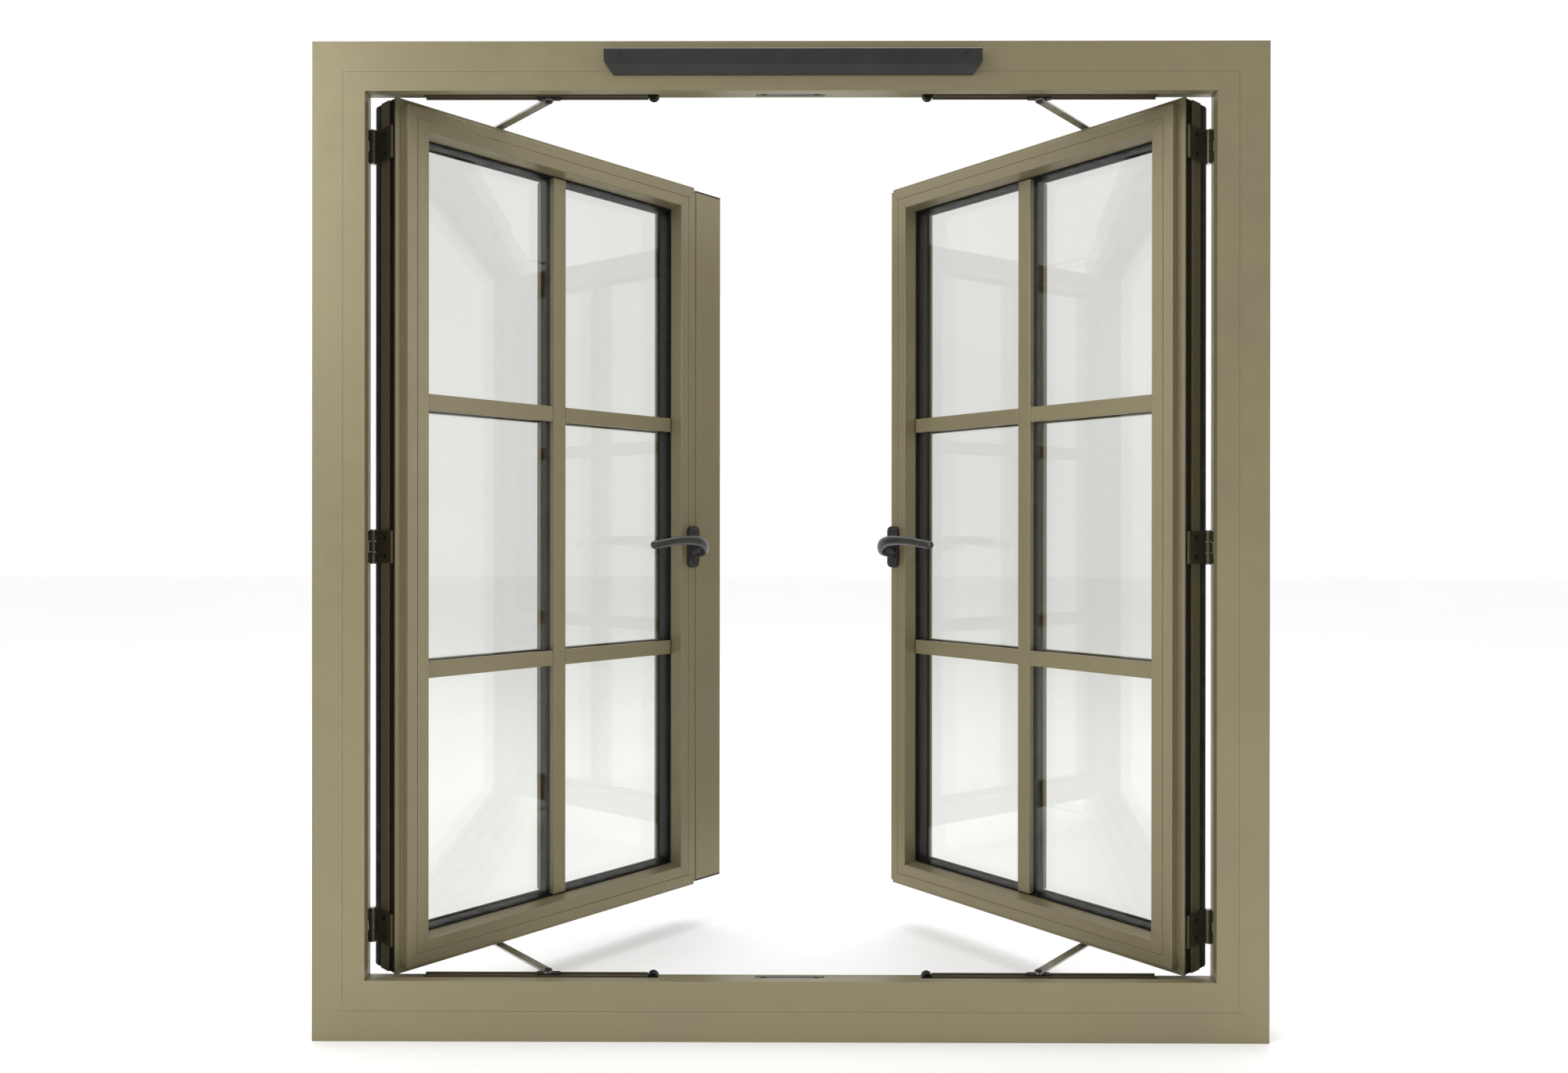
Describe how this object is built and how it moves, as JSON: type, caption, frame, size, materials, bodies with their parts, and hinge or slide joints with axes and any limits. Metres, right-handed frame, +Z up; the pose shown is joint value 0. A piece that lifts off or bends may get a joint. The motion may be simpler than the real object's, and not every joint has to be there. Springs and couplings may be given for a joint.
{
  "type": "casement window",
  "caption": "Double casement window in an olive aluminium frame: two outward-opening glazed sashes with glazing bars, lever handles, butt hinges, sliding stays and a head vent.",
  "frame": {"origin": "middle of the frame's underside, halfway through its depth", "axes": "+X to the right seen from the room, +Y towards the outside, +Z up"},
  "size_m": [1.2, 0.4892, 1.254],
  "materials": {
    "olive_coat": "satin metallic olive powder coat",
    "black_plastic": "matte",
    "black_rubber": "matte",
    "black_coat": "semi-gloss black powder coat",
    "dark_steel": "satin black",
    "steel": "zinc plated",
    "cleat_aluminium": "mill finish",
    "glass": "clear double glazing"
  },
  "bodies": {
    "frame": {"frame_jamb_left": "olive_coat", "frame_jamb_right": "olive_coat", "frame_head": "olive_coat", "frame_sill": "olive_coat", "frame_thermal_break": "black_plastic", "frame_corner_cleats": "cleat_aluminium", "frame_seal": "black_rubber", "frame_screws": "steel", "vent_cover": "black_plastic", "vent_canopy": "black_plastic", "vent_screws": "black_coat", "shoot_bolt_keeps": "dark_steel", "hinge_frame_leaves": "dark_steel", "hinge_pins": "steel", "stay_tracks": "dark_steel", "track_end_stops": "black_rubber"},
    "left_sash": {"left_hinge_stile": "olive_coat", "left_meeting_stile": "olive_coat", "left_rails": "olive_coat", "left_outer_profiles": "olive_coat", "left_thermal_break": "black_plastic", "left_corner_cleats": "cleat_aluminium", "left_glazing_beads": "olive_coat", "left_seals": "black_rubber", "left_glass_panes": "glass", "left_glass_spacers": "black_plastic", "left_glazing_bars": "olive_coat", "left_hinge_leaves": "dark_steel", "left_sash_screws": "black_coat", "left_stay_bars": "dark_steel", "left_handle_base": "black_coat", "left_gearbox": "steel", "left_meeting_cover": "olive_coat", "left_cover_caps": "black_plastic"},
    "left_handle": {"left_handle_lever": "black_coat"},
    "left_upper_bolt": {"left_upper_rod": "steel"},
    "left_lower_bolt": {"left_lower_rod": "steel"},
    "left_arms": {"left_stay_arms": "dark_steel"},
    "left_shoes": {"left_stay_shoes": "black_plastic"},
    "right_sash": {"right_hinge_stile": "olive_coat", "right_meeting_stile": "olive_coat", "right_rails": "olive_coat", "right_outer_profiles": "olive_coat", "right_thermal_break": "black_plastic", "right_corner_cleats": "cleat_aluminium", "right_glazing_beads": "olive_coat", "right_seals": "black_rubber", "right_glass_panes": "glass", "right_glass_spacers": "black_plastic", "right_glazing_bars": "olive_coat", "right_hinge_leaves": "dark_steel", "right_sash_screws": "black_coat", "right_stay_bars": "dark_steel", "right_handle_base": "black_coat", "right_gearbox": "steel"},
    "right_handle": {"right_handle_lever": "black_coat"},
    "right_upper_bolt": {"right_upper_rod": "steel"},
    "right_lower_bolt": {"right_lower_rod": "steel"},
    "right_arms": {"right_stay_arms": "dark_steel"},
    "right_shoes": {"right_stay_shoes": "black_plastic"}
  },
  "joints": [
    {"name": "left_swing", "type": "hinge", "parent": "frame", "child": "left_sash", "pos_m": [-0.546, 0.027, 0.62], "axis": [0, 0, 1], "range_deg": [-47.5, 27.5]},
    {"name": "left_arm_fold", "type": "hinge", "parent": "left_sash", "child": "left_arms", "pos_m": [-0.43115, 0.15234, 0.065], "axis": [0, 0, 1], "range_deg": [-55, 95]},
    {"name": "left_shoe_turn", "type": "hinge", "parent": "left_arms", "child": "left_shoes", "pos_m": [-0.3163, 0.027, 0.065], "axis": [0, 0, 1], "range_deg": [-47.5, 27.5]},
    {"name": "left_handle_turn", "type": "hinge", "parent": "left_sash", "child": "left_handle", "pos_m": [-0.15715, 0.36106, 0.608], "axis": [0.7373, -0.6756, 0], "range_deg": [0, 90]},
    {"name": "left_upper_bolt_slide", "type": "slide", "parent": "left_sash", "child": "left_upper_bolt", "axis": [0, 0, 1], "range_m": [0, 0.012]},
    {"name": "left_lower_bolt_slide", "type": "slide", "parent": "left_sash", "child": "left_lower_bolt", "axis": [0, 0, -1], "range_m": [0, 0.012]},
    {"name": "right_swing", "type": "hinge", "parent": "frame", "child": "right_sash", "pos_m": [0.546, 0.027, 0.62], "axis": [0, 0, -1], "range_deg": [-49.5, 25.5]},
    {"name": "right_arm_fold", "type": "hinge", "parent": "right_sash", "child": "right_arms", "pos_m": [0.43559, 0.15627, 0.065], "axis": [0, 0, -1], "range_deg": [-51, 99]},
    {"name": "right_shoe_turn", "type": "hinge", "parent": "right_arms", "child": "right_shoes", "pos_m": [0.32519, 0.027, 0.065], "axis": [0, 0, -1], "range_deg": [-49.5, 25.5]},
    {"name": "right_handle_turn", "type": "hinge", "parent": "right_sash", "child": "right_handle", "pos_m": [0.16905, 0.37443, 0.608], "axis": [0.7604, 0.6494, 0], "range_deg": [0, 90]},
    {"name": "right_upper_bolt_slide", "type": "slide", "parent": "right_sash", "child": "right_upper_bolt", "axis": [0, 0, 1], "range_m": [0, 0.012]},
    {"name": "right_lower_bolt_slide", "type": "slide", "parent": "right_sash", "child": "right_lower_bolt", "axis": [0, 0, -1], "range_m": [0, 0.012]}
  ],
  "couplings": [
    {"joint": "left_arm_fold", "follows": "left_swing", "ratio": -2},
    {"joint": "left_shoe_turn", "follows": "left_swing", "ratio": 1},
    {"joint": "left_upper_bolt_slide", "follows": "left_handle_turn", "m_per_rad": 0.007639},
    {"joint": "left_lower_bolt_slide", "follows": "left_handle_turn", "m_per_rad": 0.007639},
    {"joint": "right_arm_fold", "follows": "right_swing", "ratio": -2},
    {"joint": "right_shoe_turn", "follows": "right_swing", "ratio": 1},
    {"joint": "right_upper_bolt_slide", "follows": "right_handle_turn", "m_per_rad": 0.007639},
    {"joint": "right_lower_bolt_slide", "follows": "right_handle_turn", "m_per_rad": 0.007639}
  ]
}
